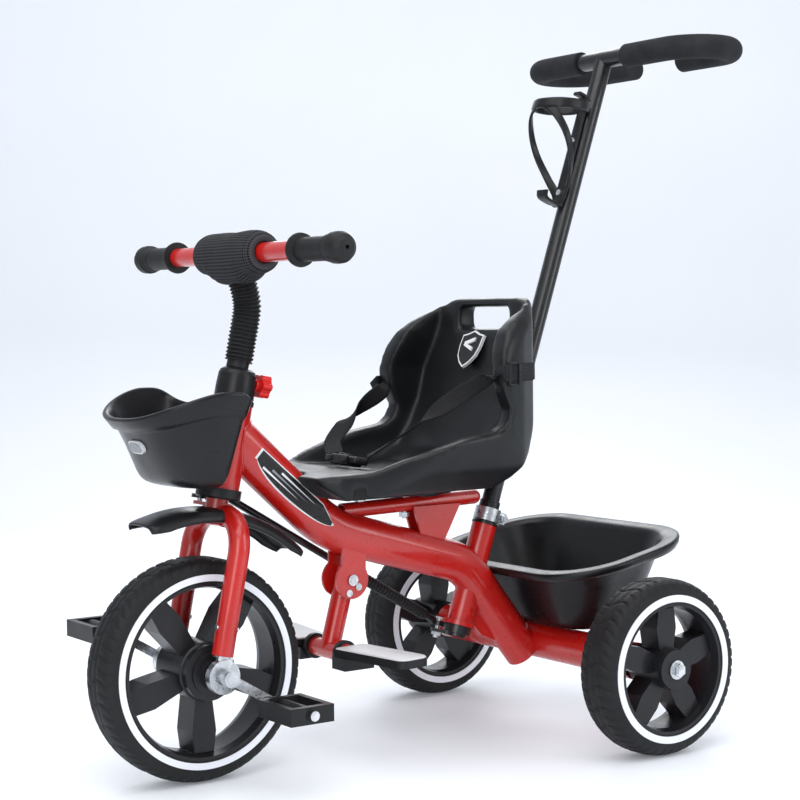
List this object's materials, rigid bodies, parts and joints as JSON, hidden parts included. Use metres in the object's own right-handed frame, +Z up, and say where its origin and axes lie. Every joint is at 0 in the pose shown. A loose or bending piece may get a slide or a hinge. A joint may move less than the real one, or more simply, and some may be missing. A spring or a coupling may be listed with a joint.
{
  "type": "children's tricycle",
  "caption": "Ride-on toddler tricycle with pedals on the front wheel, harnessed bucket seat, steering push handle, bottle cage, fold-away footrest, and front and rear baskets",
  "frame": {"origin": "on the floor below the middle of the bounding box, at rest with the wheels straight ahead", "axes": "+Z up, +Y toward the rear (push handle end), +X to the rider's left; the front wheel is at -Y"},
  "size_m": [0.526, 0.8421, 0.8546],
  "materials": {
    "red_paint": "gloss",
    "black_paint": "gloss",
    "zinc": "satin",
    "black_plastic": "satin",
    "foot_pad_plastic": "satin",
    "red_plastic": "gloss",
    "tyre_foam": "matte",
    "white_ring": "satin",
    "rubber": "matte",
    "foam": "matte",
    "pad_fabric": "matte",
    "webbing": "matte"
  },
  "bodies": {
    "frame": {"head_tube": "red_paint", "main_beam": "red_paint", "rear_axle_tube": "red_paint", "post_socket": "red_paint", "seat_rail": "red_paint", "seat_bracket": "red_paint", "footrest_hinge_plates": "red_paint", "hinge_pins": "zinc", "bearing_cups": "black_plastic", "front_basket": "black_plastic", "basket_screws": "zinc", "rear_axle": "zinc", "axle_end_plugs": "black_plastic", "axle_nuts": "zinc", "axle_washers": "zinc", "seat_shell": "black_plastic", "seat_bolts": "zinc", "harness_straps": "webbing", "harness_buckle": "black_plastic", "rear_basket": "black_plastic", "rear_basket_bolts": "zinc"},
    "steering": {"fork_left_leg": "red_paint", "fork_right_leg": "red_paint", "fork_crown": "red_paint", "axle_housings": "zinc", "fork_screws": "zinc", "mudguard": "black_plastic", "rod_front_bolt": "zinc", "lock_collar": "black_plastic"},
    "handlebar": {"stem_tube": "black_paint", "stem_bellows": "rubber", "handlebar_tube": "red_paint", "bar_pad": "pad_fabric", "hand_grips": "rubber"},
    "collar_knob": {"lock_knob": "red_plastic"},
    "front_wheel": {"front_tyre": "tyre_foam", "front_wheel": "black_plastic", "front_rings": "white_ring", "crank_axle": "zinc"},
    "pedal_l": {"pedal_left": "black_plastic"},
    "pedal_r": {"pedal_right": "black_plastic"},
    "rear_wheel_l": {"rear_tyre_left": "tyre_foam", "rear_wheel_left": "black_plastic", "rear_rings_left": "white_ring"},
    "rear_wheel_r": {"rear_tyre_right": "tyre_foam", "rear_wheel_right": "black_plastic", "rear_rings_right": "white_ring"},
    "post_steer": {"post_sleeve": "black_paint", "post_clamp": "zinc", "sleeve_bolts": "zinc"},
    "push_handle": {"push_post": "black_paint", "handle_bar": "black_paint", "handle_foams": "foam", "bottle_cage": "black_plastic", "cage_screws": "zinc"},
    "steering_rod": {"tie_rod": "black_paint", "rod_cover": "rubber"},
    "footrest": {"footrest_frame": "red_paint", "foot_pads": "foot_pad_plastic", "pad_brackets": "black_plastic"}
  },
  "joints": [
    {"name": "steer", "type": "hinge", "parent": "frame", "child": "steering", "pos_m": [0, -0.3285, 0], "axis": [0, 0.1994, 0.9799], "range_deg": [-30, 30]},
    {"name": "bar_height", "type": "slide", "parent": "steering", "child": "handlebar", "axis": [0, 0.1994, 0.9799], "range_m": [0, 0.03]},
    {"name": "knob_turn", "type": "hinge", "parent": "steering", "child": "collar_knob", "pos_m": [0, -0.23839, 0.44293], "axis": [0, 0.9799, -0.1994], "continuous": true},
    {"name": "front_wheel_spin", "type": "hinge", "parent": "steering", "child": "front_wheel", "pos_m": [0, -0.2965, 0.125], "axis": [1, 0, 0], "continuous": true},
    {"name": "pedal_left_spin", "type": "hinge", "parent": "front_wheel", "child": "pedal_l", "pos_m": [0.12, -0.23993, 0.09101], "axis": [1, 0, 0], "continuous": true},
    {"name": "pedal_right_spin", "type": "hinge", "parent": "front_wheel", "child": "pedal_r", "pos_m": [-0.12, -0.35307, 0.15899], "axis": [1, 0, 0], "continuous": true},
    {"name": "rear_left_spin", "type": "hinge", "parent": "frame", "child": "rear_wheel_l", "pos_m": [0.223, 0.1925, 0.103], "axis": [1, 0, 0], "continuous": true},
    {"name": "rear_right_spin", "type": "hinge", "parent": "frame", "child": "rear_wheel_r", "pos_m": [-0.223, 0.1925, 0.103], "axis": [1, 0, 0], "continuous": true},
    {"name": "post_turn", "type": "hinge", "parent": "frame", "child": "post_steer", "pos_m": [0, 0.0225, 0], "axis": [0, 0.3256, 0.9455], "range_deg": [-30.5, 30.5]},
    {"name": "handle_height", "type": "slide", "parent": "post_steer", "child": "push_handle", "axis": [0, 0.3256, 0.9455], "range_m": [0, 0.1]},
    {"name": "rod_pivot", "type": "hinge", "parent": "post_steer", "child": "steering_rod", "pos_m": [-0.04, 0.06775, 0.13143], "axis": [0, 0.3256, 0.9455], "range_deg": [-30.5, 30.5]},
    {"name": "footrest_fold", "type": "hinge", "parent": "frame", "child": "footrest", "pos_m": [0, -0.0965, 0.207], "axis": [1, 0, 0], "range_deg": [0, 60]}
  ],
  "couplings": [
    {"joint": "post_turn", "follows": "steer", "ratio": 1},
    {"joint": "rod_pivot", "follows": "steer", "ratio": -1}
  ]
}
